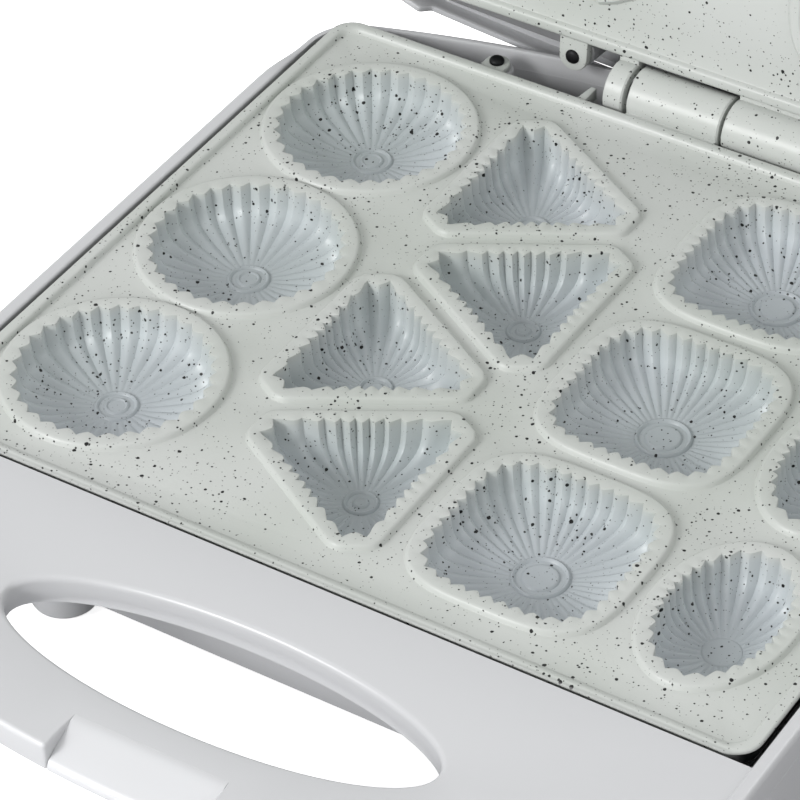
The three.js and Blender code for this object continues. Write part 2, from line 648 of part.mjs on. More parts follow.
// ---- latch ----
// Side profile of the clip in (Y, Z), engaged under the lower handle's front lip.
function latchClip() {
  const lipZ = HANDLE.topZ - HANDLE.thick
  const face = HANDLE.frontY - 1.6
  const profile = [
    [PIN_Y + 3.6, LATCH.pinZ + 3.4], [PIN_Y - 3, LATCH.pinZ + 4.2], [face - 2.6, LATCH.pinZ + 2],
    [face - 3.2, LATCH.pinZ - 6], [face - 3.2, lipZ - 1.4], [face - 1.6, lipZ - 3.6],
    [face + 4.6, lipZ - 3.2], [face + 5.2, lipZ - 0.6], [face, lipZ - 0.5], [face, LATCH.pinZ - 7],
    [PIN_Y + 2, LATCH.pinZ - 3.6], [PIN_Y + 3.6, LATCH.pinZ - 1],
  ]
  const holeEnd = LATCH_HALF + 5
  const hole = bar('x', LATCH.pin + 0.2, -holeEnd, holeEnd, PIN_Y, LATCH.pinZ, 16)
  return crosswise(profile, LATCH_HALF).subtract(hole)
}

// ---- assembly ----
function part(group, name, body, shade) {
  const mesh = new THREE.Mesh(geometryOf(body), material(shade))
  mesh.name = name
  group.add(mesh)
}

function buildBase(group) {
  part(group, 'lower_housing', lowerHousing(), 'shell')
  const handleUnder = HANDLE.topZ - HANDLE.thick
  part(group, 'lower_handle_cover', handleCover(handleUnder, handleUnder + HANDLE.cover), 'shell')
  part(group, 'base_cover', baseCover(), 'shell')
  const footX = PLATE.width / 2 - FOOT.fromSide
  for (const [side, x] of [['left', -footX], ['right', footX]]) {
    for (const [end, y] of [['front', FOOT.fromFront], ['rear', PLATE.depth - FOOT.fromBack]]) {
      part(group, `foot_${end}_${side}`, foot(x, y), 'shell')
      part(group, `foot_pad_${end}_${side}`, footPad(x, y), 'rubber')
    }
  }
  part(group, 'lower_baking_plate', lowerPlate(), 'coating')
  part(group, 'hinge_rod', hingeRod(), 'steel')
  const seat = LUG.topZ + FIT
  part(group, 'lower_plate_screw_left', screw(-LUG.wide, LUG_Y, seat, LUG_SCREW.length, false), 'dark')
  part(group, 'lower_plate_screw_right', screw(LUG.near, LUG_Y, seat, LUG_SCREW.length, false), 'dark')
  part(group, 'lower_heating_element', heatingLoop(ELEMENT_Z), 'steel')
  part(group, 'lower_heat_shield', heatShield(SHIELD.lowerZ, SHIELD.lowerZ + SHIELD.lip), 'tin')
  part(group, 'thermostat', thermostat(), 'steel')
  part(group, 'thermal_fuse', thermalFuse(), 'ceramic')
  part(group, 'terminal_block', terminalBlock(), 'ceramic')
  part(group, 'thermostat_lead', thermostatLead(), 'rubber')
  part(group, 'element_lead', elementLead(), 'rubber')
  part(group, 'cord_gland', cordGland(), 'rubber')
  COVER_SCREWS.forEach(([x, y], i) => {
    part(group, `cover_screw_${i + 1}`, screw(x, y, BASE.bottomZ - FIT, COVER.screwLong, true), 'dark')
  })
}

function buildLid(group) {
  const handleTop = UPPER_DECK_Z + HANDLE.thick
  const seat = PARTING_GAP - LUG.topZ - FIT
  const pinEnd = CATCH.halfX + 5
  part(group, 'lid_housing', lidHousing(), 'shell')
  part(group, 'lid_handle_cover', handleCover(handleTop - HANDLE.cover, handleTop), 'shell')
  part(group, 'upper_baking_plate', upperPlate(), 'coating')
  part(group, 'upper_plate_screw_left', screw(-LUG.near, LUG_Y, seat, LUG_SCREW.length, true), 'dark')
  part(group, 'upper_plate_screw_right', screw(LUG.wide, LUG_Y, seat, LUG_SCREW.length, true), 'dark')
  part(group, 'upper_heating_element', heatingLoop(UPPER_ELEMENT_Z), 'steel')
  part(group, 'upper_heat_shield', heatShield(SHIELD.upperZ, SHIELD.upperZ - SHIELD.lip), 'tin')
  part(group, 'lamp_lens_power', lampLens(lampPlaces()[0]), 'red')
  part(group, 'lamp_lens_ready', lampLens(lampPlaces()[1]), 'green')
  part(group, 'lamp_holder', lampHolder(), 'ceramic')
  part(group, 'latch_pin', bar('x', LATCH.pin, -pinEnd, pinEnd, PIN_Y, LATCH.pinZ, 12), 'steel')
}

// A group whose contents are laid out in the shared frame but turn about a line along X.
function turnedGroup(y, z, degrees) {
  const pivot = new THREE.Group()
  pivot.position.set(0, y, z)
  pivot.rotation.x = degrees * Math.PI / 180
  const contents = new THREE.Group()
  contents.position.set(0, -y, -z)
  pivot.add(contents)
  return { pivot, contents }
}

function build() {
  const maker = new THREE.Group()
  maker.name = 'tartlet_maker'
  const layout = new THREE.Group()
  maker.add(layout)
  buildBase(layout)
  const lid = turnedGroup(HINGE_Y, HINGE_Z, -LID.openAngle)
  layout.add(lid.pivot)
  buildLid(lid.contents)
  const latch = turnedGroup(PIN_Y, LATCH.pinZ, -LATCH.swing)
  lid.contents.add(latch.pivot)
  part(latch.contents, 'latch_clip', latchClip(), 'shell')
  maker.updateMatrixWorld(true)
  const extent = new THREE.Box3().setFromObject(maker, true)
  layout.position.set(-(extent.min.x + extent.max.x) / 2, -(extent.min.y + extent.max.y) / 2, -extent.min.z)
  maker.updateMatrixWorld(true)
  return maker
}

export default build()
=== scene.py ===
"""An open clamshell tartlet maker: fluted die-cast plates with a stone-look coating in pale plastic housings.

Shapes are worked out in millimetres in a layout frame: X from the middle of the plates, Y from the front edge
of the lower plate, Z from its face. The lid is laid out shut, as a mirror of the base, and then turned open.
"""
import json
import math

import bmesh
import bpy
import numpy as np
from mathutils import Matrix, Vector
from mathutils.geometry import delaunay_2d_cdt


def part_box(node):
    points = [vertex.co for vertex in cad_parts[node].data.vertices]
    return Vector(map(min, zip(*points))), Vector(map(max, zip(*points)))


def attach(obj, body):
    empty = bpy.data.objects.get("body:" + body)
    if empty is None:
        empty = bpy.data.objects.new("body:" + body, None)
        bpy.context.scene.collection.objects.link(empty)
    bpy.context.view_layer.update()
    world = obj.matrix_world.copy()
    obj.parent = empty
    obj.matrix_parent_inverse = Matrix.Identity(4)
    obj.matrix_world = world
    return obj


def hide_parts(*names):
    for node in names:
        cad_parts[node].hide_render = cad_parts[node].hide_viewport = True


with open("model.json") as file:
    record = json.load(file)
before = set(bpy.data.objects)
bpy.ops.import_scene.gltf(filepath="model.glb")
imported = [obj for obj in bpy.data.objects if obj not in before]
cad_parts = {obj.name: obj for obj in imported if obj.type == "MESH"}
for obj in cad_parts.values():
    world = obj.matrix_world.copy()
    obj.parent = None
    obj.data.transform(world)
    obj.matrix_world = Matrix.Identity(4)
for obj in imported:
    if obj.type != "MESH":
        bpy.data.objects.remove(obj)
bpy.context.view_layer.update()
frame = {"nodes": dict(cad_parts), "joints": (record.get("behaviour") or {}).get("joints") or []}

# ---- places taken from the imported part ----
MM = 0.001
HINGE = next(joint for joint in frame["joints"] if joint["name"] == "lid_hinge")
HINGE_PLACE = np.array(HINGE["pos_m"]) / MM
OPEN = math.radians(HINGE["range_deg"][1])
PARTING = 0.5                       # half the gap between the plates when shut
ORIGIN = np.array([0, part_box("lower_baking_plate")[0].y / MM, HINGE_PLACE[2] - PARTING])
HINGE_Y = HINGE_PLACE[1] - ORIGIN[1]

# ---- sizes in millimetres ----
# plates: half width, depth, corner radius; levels of the field between the moulds and of the underside
PLATE_HALF, PLATE_DEPTH, PLATE_CORNER = 140, 236.5, 8
FIELD_Z, UNDER_Z = -2, -6
# moulds: land round each, step outside it; middles of the columns; middle row and pitch of the rows
LAND, STEP_OUT = 4, 0.5
ROUND_X, SQUARE_X, OVAL_X, LEFTWARD_X, RIGHTWARD_X = -99.7, 47.8, 106.5, -14.2, -38.4
MID_Y, PITCH, TRIANGLE_PITCH = 118.25, 71.15, 46.13
SAMPLES = 6                         # points across one flute
# hinge: radii of barrel, hook's inside, bore and rod; where barrels, hooks and rod begin and end in X
BARREL_R, HOOK_R, BORE_R, ROD_R = 9.35, 5.2, 3.2, 3
BARREL_IN, BARREL_OUT, HOOK_IN, HOOK_OUT, ROD_END = 0.6, 33.8, 35.6, 46.6, 41.4
# screw lugs: places in X and Y, radius, thickness; tops of the lugs and seats of the screws, which lie lower
# on the lower plate
LUG_WIDE, LUG_NEAR, LUG_REACH, LUG_R, LUG_THICK = 85, 60, 243, 6, 4
LUG_TOP, LOW_LUG_TOP, SEAT_Z, LOW_SEAT_Z = -1, -3.1, -1.5, -2.9
# bodies: half width, back edge and its bow per millimetre of X squared, corner radius, front edge, wall
HALF_W, BACK_Y, BACK_BOW, BODY_CORNER, BODY_FRONT, WALL = 146.5, 265, 0.00134, 14, -1.4, 2.5
BASE_FLOOR_Z, BASE_TAPER = -48, 2
LID_TOP_Z, LID_TAPER, LID_CROWN = -46, 5, 9
LID_CLEARANCE = 5.6                 # how far the lid's back rim keeps from a slope of 45 degrees at the hinge
# levels of the rims, of the handle's deck, and of the shelf and ceiling under it; widths of the bead along
# the sides, back and front; lean of the rim's outside
RIM_Z, BACK_RIM_Z, DECK_Z, SHELF_Z, CEILING_Z = -0.5, -4, -1.5, -11, -8.7
BEAD, BACK_BEAD, FRONT_BEAD, RIM_LEAN = 4.9, 2.5, 3.6, 0.049
# handle: front edge and its bow, corner radius, deck's back edge; grip opening; notch and ramp for the latch
HANDLE_FRONT, HANDLE_BOW, HANDLE_CORNER, DECK_BACK = -92.2, 0.00143, 24, -0.85
GRIP_Y, GRIP_A, GRIP_B = -45.6, 70.8, 21.2
RAMP_HALF, RAMP_BACK, RAMP_SLOPE, LID_NOTCH_BACK = 25, -77.3, 6.5 / 13.7, -80.5

# camera: place, directions in degrees, lens and sensor
CAMERA_PLACE = (492.16, -702.74, 783.35)
CAMERA_YAW, CAMERA_TILT, CAMERA_ROLL = 33.19, 40.0, -1.6
LENS, SENSOR = 186.6, 36


# ---- colour and nodes ----
WHITE = (1, 1, 1, 1)


def linear(hexed):
    """A colour given as sRGB hex, turned to linear light with full cover."""
    parts = [int(hexed[i : i + 2], 16) / 255 for i in (1, 3, 5)]
    return [p / 12.92 if p <= 0.04045 else ((p + 0.055) / 1.055) ** 2.4 for p in parts] + [1.0]


def add(material, kind, settings=None, links=None):
    """Adds one node: settings are properties or socket values, links are socket: source socket."""
    node = material.node_tree.nodes.new(kind)
    for key, value in (settings or {}).items():
        if isinstance(key, str) and hasattr(node, key):
            setattr(node, key, value)
        else:
            node.inputs[key].default_value = value
    for key, source in (links or {}).items():
        material.node_tree.links.new(source, node.inputs[key])
    return node


def finish_of(name, colour, **sockets):
    """A new material with a principled shader, and that shader."""
    material = bpy.data.materials.new(name)
    material.use_nodes = True
    shader = material.node_tree.nodes["Principled BSDF"]
    shader.inputs["Base Color"].default_value = linear(colour)
    for key, value in sockets.items():
        shader.inputs[key.replace("_", " ")].default_value = value
    return material, shader


def join(owner, source, node, socket):
    """Links a source socket to a named input of a node."""
    owner.node_tree.links.new(source, node.inputs[socket])


def noise(material, place, size_mm, detail):
    """Soft random variation of about that size."""
    settings = {"Scale": 1 / (size_mm * MM), "Detail": detail}
    return add(material, "ShaderNodeTexNoise", settings, {"Vector": place})


def times(material, source, factor, clamp=False):
    """A socket's value times a number, kept between 0 and 1 if clamped."""
    settings = {"operation": "MULTIPLY", "use_clamp": clamp, 1: factor}
    return add(material, "ShaderNodeMath", settings, {0: source}).outputs[0]


def mixed(material, share, below, above, blend="MIX"):
    """Lays one colour over another by a share. Each may be a value or a socket."""
    settings, links = {"data_type": "RGBA", "blend_type": blend}, {}
    for key, value in ((0, share), (6, below), (7, above)):
        (links if isinstance(value, bpy.types.NodeSocket) else settings)[key] = value
    return add(material, "ShaderNodeMix", settings, links).outputs[2]


def ramp(material, source, stops):
    """A colour ramp through (place, hex colour) stops."""
    node = add(material, "ShaderNodeValToRGB", links={0: source})
    elements = node.color_ramp.elements
    while len(elements) < len(stops):
        elements.new(0.5)
    for element, (place, colour) in zip(elements, stops):
        element.position = place
        element.color = linear(colour)
    return node.outputs["Color"]


def grain(material, shader, size_mm, depth_mm, roughness):
    """Fine unevenness of that size and depth over the surface, and with it a roughness between two values."""
    place = add(material, "ShaderNodeTexCoord").outputs["Object"]
    uneven = noise(material, place, size_mm, 3.0).outputs["Fac"]
    bump = add(material, "ShaderNodeBump", {"Distance": depth_mm * MM}, {"Height": uneven})
    join(material, bump.outputs["Normal"], shader, "Normal")
    low, high = roughness
    spread = add(material, "ShaderNodeMapRange", {"To Min": low, "To Max": high}, {"Value": uneven})
    join(material, spread.outputs["Result"], shader, "Roughness")
    return place


def specks(material, place, spacing_mm, radius_mm, thinning):
    """Round grit: balls of that radius scattered that far apart, cut by the surface. 1 inside a grain."""
    settings = {"Scale": 1 / (spacing_mm * MM), "Randomness": 1.0}
    cells = add(material, "ShaderNodeTexVoronoi", settings, {"Vector": place})
    reach = times(material, thinning, radius_mm / spacing_mm)
    edge = add(
        material, "ShaderNodeMapRange", {"To Min": 1.0, "To Max": 0.0},
        {"Value": cells.outputs["Distance"], "From Max": reach},
    )
    return times(material, edge.outputs["Result"], 9.0, clamp=True)


def stone_coating():
    """Sprayed stone-look non-stick coating: pale green-grey and satin, with black grit in loose drifts.

    It is painted darker and cooler down the moulds by mould_depth: painted shade in the hollows.
    Where mould_depth is below 0 a near-black tint shows, partly bare casting and partly painted shade in the
    gap under the plate's rolled edge.
    """
    material, shader = finish_of("sprayed_stone_look_coating", "#c0c3bf", Roughness=0.3, IOR=1.46)
    place = grain(material, shader, 1.1, 0.03, (0.3, 0.42))
    drift = noise(material, place, 26, 2.0).outputs["Fac"]
    thinning = add(
        material, "ShaderNodeMapRange", {"From Min": 0.3, "From Max": 0.7, "To Min": 0.6, "To Max": 1.2},
        {"Value": drift},
    ).outputs["Result"]
    warp = noise(material, place, 1.0, 1.0).outputs["Color"]
    ragged = (0.5 * MM, 0.5 * MM, 0.5 * MM)
    shifted = add(
        material, "ShaderNodeVectorMath", {"operation": "MULTIPLY_ADD", 1: ragged}, {0: warp, 2: place}
    ).outputs["Vector"]
    depth = add(material, "ShaderNodeAttribute", {"attribute_name": "mould_depth"}).outputs["Fac"]
    # painted shade: the coating is tinted darker and cooler the deeper it lies in a mould
    body = ramp(material, depth, [
        (0.0, "#c0c3c0"), (0.2, "#c0c5c6"), (0.7, "#bfc5c8"), (0.9, "#b4babe"), (1.0, "#acb2b6"),
    ])
    tone = noise(material, place, 60, 1.0).outputs["Fac"]
    warmth = ramp(material, tone, [(0.35, "#f4f6f3"), (0.65, "#ffffff")])
    colour = mixed(material, 1.0, body, warmth, "MULTIPLY")
    # near-black tint where mould_depth is below 0: partly bare casting, partly painted shade in the gap under
    # the rolled edge
    bare_and_shade = times(material, depth, -1.0, clamp=True)
    colour = mixed(material, bare_and_shade, colour, linear("#101314"))
    for spacing, radius, grit, cover in (
        (1.45, 0.21, "#4f524f", 0.8), (2.5, 0.37, "#171817", 0.97), (5.0, 0.62, "#0c0c0c", 1.0),
    ):
        mask = specks(material, shifted, spacing, radius, thinning)
        colour = mixed(material, times(material, mask, cover), colour, linear(grit))
    join(material, colour, shader, "Base Color")
    return material


def moulded_plastic():
    """Injection-moulded ABS, pale cool grey, satin gloss: a broad soft highlight and a faint orange peel."""
    material, shader = finish_of("moulded_abs", "#c3c4c6", Roughness=0.3, IOR=1.52)
    grain(material, shader, 2.5, 0.012, (0.26, 0.34))
    return material


def plain(name, colour, size_mm, depth_mm, roughness, **sockets):
    """A finish of one colour with grain."""
    material, shader = finish_of(name, colour, **sockets)
    grain(material, shader, size_mm, depth_mm, roughness)
    return material


COATING = stone_coating()
SHELL = moulded_plastic()
# Ground rod: bright steel with fine round-about scratches, worn soft by turning.
GROUND_STEEL = plain("ground_steel", "#b4b6b8", 0.9, 0.0008, (0.28, 0.36), Metallic=1.0)
# Heating element sheath: steel browned by heat.
SHEATH = plain("heat_browned_steel", "#6d665d", 1.5, 0.01, (0.4, 0.6), Metallic=1.0)
# Pressed sheet aluminium: dull bright metal.
SHEET_METAL = plain("pressed_aluminium", "#c9cbcd", 3.0, 0.01, (0.35, 0.5), Metallic=1.0)
# Black oxide on screws: near black, a dull metal sheen.
BLACK_STEEL = plain("black_oxide_steel", "#17181a", 0.5, 0.01, (0.4, 0.6), Metallic=0.6)
# Nickel plate on the thermostat's can.
NICKEL = plain("nickel_plate", "#b9b6ae", 0.8, 0.004, (0.22, 0.32), Metallic=1.0)
# Steatite ceramic, unglazed: chalky off-white.
CERAMIC = plain("unglazed_steatite", "#e2ddd2", 0.6, 0.02, (0.7, 0.85))
# Rubber foot pads: matte black.
RUBBER = plain("moulded_rubber", "#232324", 0.7, 0.02, (0.75, 0.9))
# Pale rubber of the cord gland.
GLAND_RUBBER = plain("pale_gland_rubber", "#c3c5c7", 0.9, 0.02, (0.6, 0.75))
# Glass braid over silicone on the inner leads.
BRAID = plain("glass_braid_sleeve", "#cfc9bd", 0.5, 0.05, (0.7, 0.85))
# Tinted polycarbonate lamp lenses: deep colour and a sharp gloss.
CLEAR = {"IOR": 1.58, "Transmission_Weight": 0.35}
RED_LENS = plain("red_polycarbonate", "#b01c12", 4.0, 0.002, (0.08, 0.12), **CLEAR)
GREEN_LENS = plain("green_polycarbonate", "#1d7a36", 4.0, 0.002, (0.08, 0.12), **CLEAR)


# ---- meshes ----
class Skin:
    """Gathers the patches of one mesh as whole arrays of points, faces, smooth flags and mould depths."""

    def __init__(self):
        self.points, self.faces, self.smooth, self.depth = [], [], [], []
        self.count = 0

    def patch(self, points, faces, smooth=True, depth=None):
        """Adds points and the faces between them. Mould depth is 0 where none is given."""
        points = np.asarray(points, float).reshape(-1, 3)
        self.points.append(points)
        self.faces += (np.asarray(faces) + self.count).tolist()
        self.smooth += [smooth] * len(faces)
        self.depth.append(np.zeros(len(points)) if depth is None else np.asarray(depth, float).ravel())
        self.count += len(points)

    def rings(self, rings, caps=(), wrap=False, smooth=True, depth=None):
        """Quads between rings of equally many points. Each cap closes an end ring to its middle, and wrap
        joins the last ring to the first."""
        rings = np.asarray(rings, float)
        levels, around = rings.shape[:2]
        level, i = np.meshgrid(np.arange(levels if wrap else levels - 1), np.arange(around), indexing="ij")
        here, above = level * around, (level + 1) % levels * around
        ahead = (i + 1) % around
        quads = np.stack([here + i, here + ahead, above + ahead, above + i], -1)
        self.patch(rings, quads.reshape(-1, 4), smooth, depth)
        for cap in caps:
            ring = rings[0] if cap == "first" else rings[-1]
            i = np.arange(around)
            fan = np.stack([i, (i + 1) % around, np.full(around, around)], -1)
            self.patch(np.vstack([ring, ring.mean(0)]), fan, False)

    def flat(self, outer, holes, z):
        """A level face inside one closed outline and outside the others."""
        loops = [np.asarray(loop)[:, :2] for loop in (outer, *holes)]
        starts = np.cumsum([0] + [len(loop) for loop in loops])
        edges = [
            (int(start + k), int(start + (k + 1) % len(loop)))
            for start, loop in zip(starts, loops) for k in range(len(loop))
        ]
        found = delaunay_2d_cdt([tuple(p) for p in np.vstack(loops)], edges, [], 1, 1e-6)
        points = np.array([[p.x, p.y, z] for p in found[0]])
        triangles = np.array([list(face) for face in found[2]])
        middles = points[triangles].mean(1)[:, :2]
        keep = encloses(loops[0], middles)
        for hole in loops[1:]:
            keep &= ~encloses(hole, middles)
        self.patch(points, triangles[keep], False)


def encloses(loop, points):
    """Which points lie inside a closed outline: their line to the right crosses it an odd number of times."""
    ahead = np.roll(loop, -1, 0)
    x, y = points[:, :1], points[:, 1:]
    spans = (loop[:, 1] > y) != (ahead[:, 1] > y)
    rise = np.where(ahead[:, 1] == loop[:, 1], 1, ahead[:, 1] - loop[:, 1])
    crossing = loop[:, 0] + (y - loop[:, 1]) / rise * (ahead[:, 0] - loop[:, 0])
    return (spans & (x < crossing)).sum(1) % 2 == 1


def shut(points):
    """Layout points as they are, in the base."""
    return points


def lid_turn(points):
    """Mirrors points in the parting plane and turns them open about the hinge line."""
    y, z = points[:, 1] - HINGE_Y, PARTING - points[:, 2]
    c, s = math.cos(-OPEN), math.sin(-OPEN)
    return np.stack([points[:, 0], y * c - z * s + HINGE_Y, y * s + z * c + PARTING], 1)


def piece(name, skin, body, material, replaces=(), turn=shut, crease=38):
    """Makes the mesh: merged, with outward faces, and sharp where two faces meet above the crease angle."""
    points = turn(np.concatenate(skin.points)) + ORIGIN
    mesh = bpy.data.meshes.new(name)
    mesh.from_pydata((points * MM).tolist(), [], skin.faces)
    mesh.polygons.foreach_set("use_smooth", skin.smooth)
    layer = mesh.attributes.new("mould_depth", "FLOAT", "POINT")
    layer.data.foreach_set("value", np.concatenate(skin.depth).astype(np.float32))
    work = bmesh.new()
    work.from_mesh(mesh)
    bmesh.ops.remove_doubles(work, verts=work.verts, dist=2e-6)
    bmesh.ops.recalc_face_normals(work, faces=work.faces)
    work.to_mesh(mesh)
    work.free()
    mesh.set_sharp_from_angle(angle=math.radians(crease))
    made = bpy.data.objects.new(name, mesh)
    bpy.context.scene.collection.objects.link(made)
    mesh.materials.append(material)
    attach(made, body)
    if replaces:
        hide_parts(*replaces)
    return made


def lift(outline, z):
    """Adds a height, one number or one for each point, to a plan outline."""
    return np.column_stack([outline, np.broadcast_to(z, len(outline))])


def inward(path):
    """Unit normals on the inner side of a path that runs counter-clockwise."""
    along = np.roll(path, -1, 0) - np.roll(path, 1, 0)
    across = np.stack([-along[:, 1], along[:, 0]], 1)
    return across / np.linalg.norm(across, axis=1)[:, None]


def arc(cx, cy, rx, ry, start, end, count):
    """Points along an ellipse's arc, its end angles in degrees."""
    angle = np.radians(np.linspace(start, end, count))
    return np.stack([cx + rx * np.cos(angle), cy + ry * np.sin(angle)], 1)


def rounded_rectangle(half_x, y0, y1, r, count=9):
    """Counter-clockwise plan of a rectangle with round corners."""
    r = max(r, 0.5)
    return np.vstack([
        arc(half_x - r, y0 + r, r, r, -90, 0, count), arc(half_x - r, y1 - r, r, r, 0, 90, count),
        arc(-half_x + r, y1 - r, r, r, 90, 180, count), arc(-half_x + r, y0 + r, r, r, 180, 270, count),
    ])


def bend(a, b, c, count):
    """A quadratic curve from a to c that is pulled towards b, without a itself."""
    t = np.linspace(0, 1, count)[1:, None]
    return (1 - t) ** 2 * np.array(a) + 2 * t * (1 - t) * np.array(b) + t**2 * np.array(c)


def turned(skin, profile, x, y, around):
    """A turned shape: profile gives (radius, z) from one end to the other, carried round an upright axis."""
    angle = np.arange(around) / around * 2 * np.pi
    circle = np.stack([np.cos(angle), np.sin(angle)], 1)
    skin.rings([lift([x, y] + r * circle, z) for r, z in profile], ("first", "last"))


def turned_about_hinge(skin, profile, around):
    """The same about the hinge line: profile gives (radius, x)."""
    angle = np.arange(around) / around * 2 * np.pi
    circle = np.stack([np.zeros(around), np.cos(angle), np.sin(angle)], 1)
    skin.rings([[x, HINGE_Y, PARTING] + r * circle for r, x in profile], ("first", "last"))


def slab(skin, path, z0, z1, edge):
    """A closed slab over a plan outline, its top and bottom edges rounded off by that much."""
    normal = inward(path)
    steps = [
        (edge, z0), (edge * 0.3, z0 + edge * 0.3), (0, z0 + edge),
        (0, z1 - edge), (edge * 0.3, z1 - edge * 0.3), (edge, z1),
    ]
    skin.rings([lift(path + normal * inset, z) for inset, z in steps], ("first", "last"))


# ---- moulds ----
def superellipse(a, b, power):
    """Distance to the edge in each direction: there X over a and Y over b, each to the power, add up to 1."""
    return lambda t: (np.abs(np.cos(t) / a) ** power + np.abs(np.sin(t) / b) ** power) ** (-1 / power)


def cut_triangle(reach, corner):
    """Distance to the edge of a triangle with cut corners; one corner points along -X."""
    def edge(t):
        third = 2 * np.pi / 3
        past_corner = np.mod(t - np.pi, third)
        off = np.minimum(past_corner, third - past_corner)
        return np.minimum(corner / np.cos(off), reach / np.cos(np.pi / 3 - off))
    return edge


# kind: edge, depth, flutes, angle of one crest in degrees, flute depth
KINDS = {
    "round": (superellipse(30.9, 30.9, 2), 14.5, 31, 180, 2.0),
    "triangle": (cut_triangle(19.6, 32.2), 16, 30, 6, 2.1),
    "square": (superellipse(29.2, 29.2, 3.97), 15, 40, 4.5, 2.0),
    "oval": (superellipse(18, 28, 2), 15.5, 30, 0, 1.85),
}
# hub: (radius, height above the floor) from outside in
HUBS = {
    "round": (
        (7.6, 0.0), (6.9, 0.0), (6.5, 0.55), (6.1, 0.7), (5.7, 0.55),
        (5.3, 0.0), (3.9, 0.0), (3.5, 0.5), (3.1, 0.6), (2.6, 0.2),
    ),
    "triangle": (
        (5.9, 0.0), (5.5, 0.0), (5.15, 0.6), (4.8, 0.75), (4.4, 0.6),
        (4.0, 0.0), (2.6, 0.0), (2.2, 0.5), (1.8, 0.6), (1.2, 0.2),
    ),
    "square": (
        (9.2, 0.0), (8.8, 0.0), (8.45, 0.65), (8.05, 0.85), (7.65, 0.6),
        (7.2, 0.0), (5.7, 0.0), (5.3, 0.55), (4.8, 0.7), (4.0, 0.6),
    ),
    "oval": (
        (6.4, 0.0), (5.9, 0.0), (5.6, 0.25), (5.2, 0.3), (4.6, 0.3),
        (4.0, 0.3), (3.4, 0.3), (2.8, 0.3), (2.2, 0.3), (1.6, 0.3),
    ),
}
# wall and floor: (share of the edge's distance, share of the depth, share of the flute's depth)
FALL = (
    (1.0, 0.035, 1.0), (0.992, 0.2, 1.0), (0.982, 0.36, 1.0), (0.965, 0.5, 1.0), (0.935, 0.62, 0.95),
    (0.885, 0.72, 0.9), (0.815, 0.8, 0.8), (0.72, 0.865, 0.7), (0.6, 0.915, 0.6), (0.47, 0.955, 0.5),
    (0.36, 0.985, 0.4),
)


def mould_places():
    """Kind, middle and turn of each mould: three columns in three rows, and one column of four triangles."""
    places = []
    for row in (-1, 0, 1):
        y = MID_Y + row * PITCH
        places += [("round", ROUND_X, y, 0), ("square", SQUARE_X, y, 0), ("oval", OVAL_X, y, 0)]
    for row in (-1.5, -0.5, 0.5, 1.5):
        y = MID_Y + row * TRIANGLE_PITCH
        if row in (-1.5, 0.5):
            places.append(("triangle", LEFTWARD_X, y, 0))
        else:
            places.append(("triangle", RIGHTWARD_X, y, math.pi))
    return places


def mould_edge(place, samples=SAMPLES):
    """Angles round a mould, its crest line as distances, and how far each point swells into its flute.

    The swell is 0 at the crests and 1 between them: 0.65 of a half sine and 0.35 of a straight-sided peak.
    """
    kind, _, _, turn = place
    edge, _, flutes, first, _ = KINDS[kind]
    k = np.arange(flutes * samples)
    t = math.radians(first) + k / (flutes * samples) * 2 * np.pi
    share = (k % samples) / samples
    swell = 0.65 * np.sin(np.pi * share) + 0.35 * (1 - np.abs(2 * share - 1))
    return t + turn, edge(t), swell


def around_mould(place, t, r, z):
    """Points at angles t, distances r and heights z about a mould's middle."""
    _, x, y, _ = place
    return np.stack([x + r * np.cos(t), y + r * np.sin(t), np.broadcast_to(z, len(t))], 1)


def land_loop(place, grow, z, samples=SAMPLES):
    """The border round a mould, that far outside the crest line, measured square to it."""
    t, r, _ = mould_edge(place, samples)
    loop = around_mould(place, t, r, z)
    loop[:, :2] -= inward(loop[:, :2]) * grow
    return loop


def land_step(place):
    """Rings from the field up the soft outer step to the top of the land."""
    steps = [(0.6, FIELD_Z), (0.1, -1.86), (-0.2, -1.3), (-0.5, -0.55), (-0.9, -0.12), (-1.5, 0.0)]
    return [land_loop(place, LAND + STEP_OUT + out, z) for out, z in steps]


def fluted_mould(skin, place):
    """One mould: a border with a soft step, then a fall line from the edge to the hub. Each flute is a swell
    square to the fall line, arched between sharp crests and fading towards the hub."""
    kind = place[0]
    _, depth, _, _, swell_depth = KINDS[kind]
    t, edge, swell = mould_edge(place)
    step = land_step(place)
    inside = edge - swell_depth * swell
    lip = [around_mould(place, t, inside + out, z) for out, z in ((0.45, 0.0), (0.12, -0.12))]
    skin.rings(step)
    skin.rings([step[-1], lip[0]], smooth=False)
    shares, falls, fades = np.array(FALL).T
    run, drop = np.gradient(shares * edge.mean()), np.gradient(-falls * depth)
    length = np.hypot(run, drop)
    rings = list(lip)
    # shares of the painted shade down each ring, 0 at the lip and 1 at the hub
    depth_shade = [0.0] * len(lip)
    for share, fall, fade, across, down in zip(shares, falls, fades, run / length, drop / length):
        push = swell_depth * fade * min(1, share * 1.15) * swell
        rings.append(around_mould(place, t, edge * share + down * push, -depth * fall - across * push))
        depth_shade.append(fall)
    (radius, height), *inner = HUBS[kind]
    halfway = (edge * shares[-1] + radius) / 2
    rings.append(around_mould(place, t, halfway, height - 0.99 * depth + 0.25 * swell))
    rings += [around_mould(place, t, radius, height - depth) for radius, height in inner]
    depth_shade += [1.0] * len(HUBS[kind])
    skin.rings(rings, ("last",), depth=np.repeat(depth_shade, len(t)))
    skin.depth[-1][:] = 1.0  # the middle of the hub, which the cap closed
    return step[0]


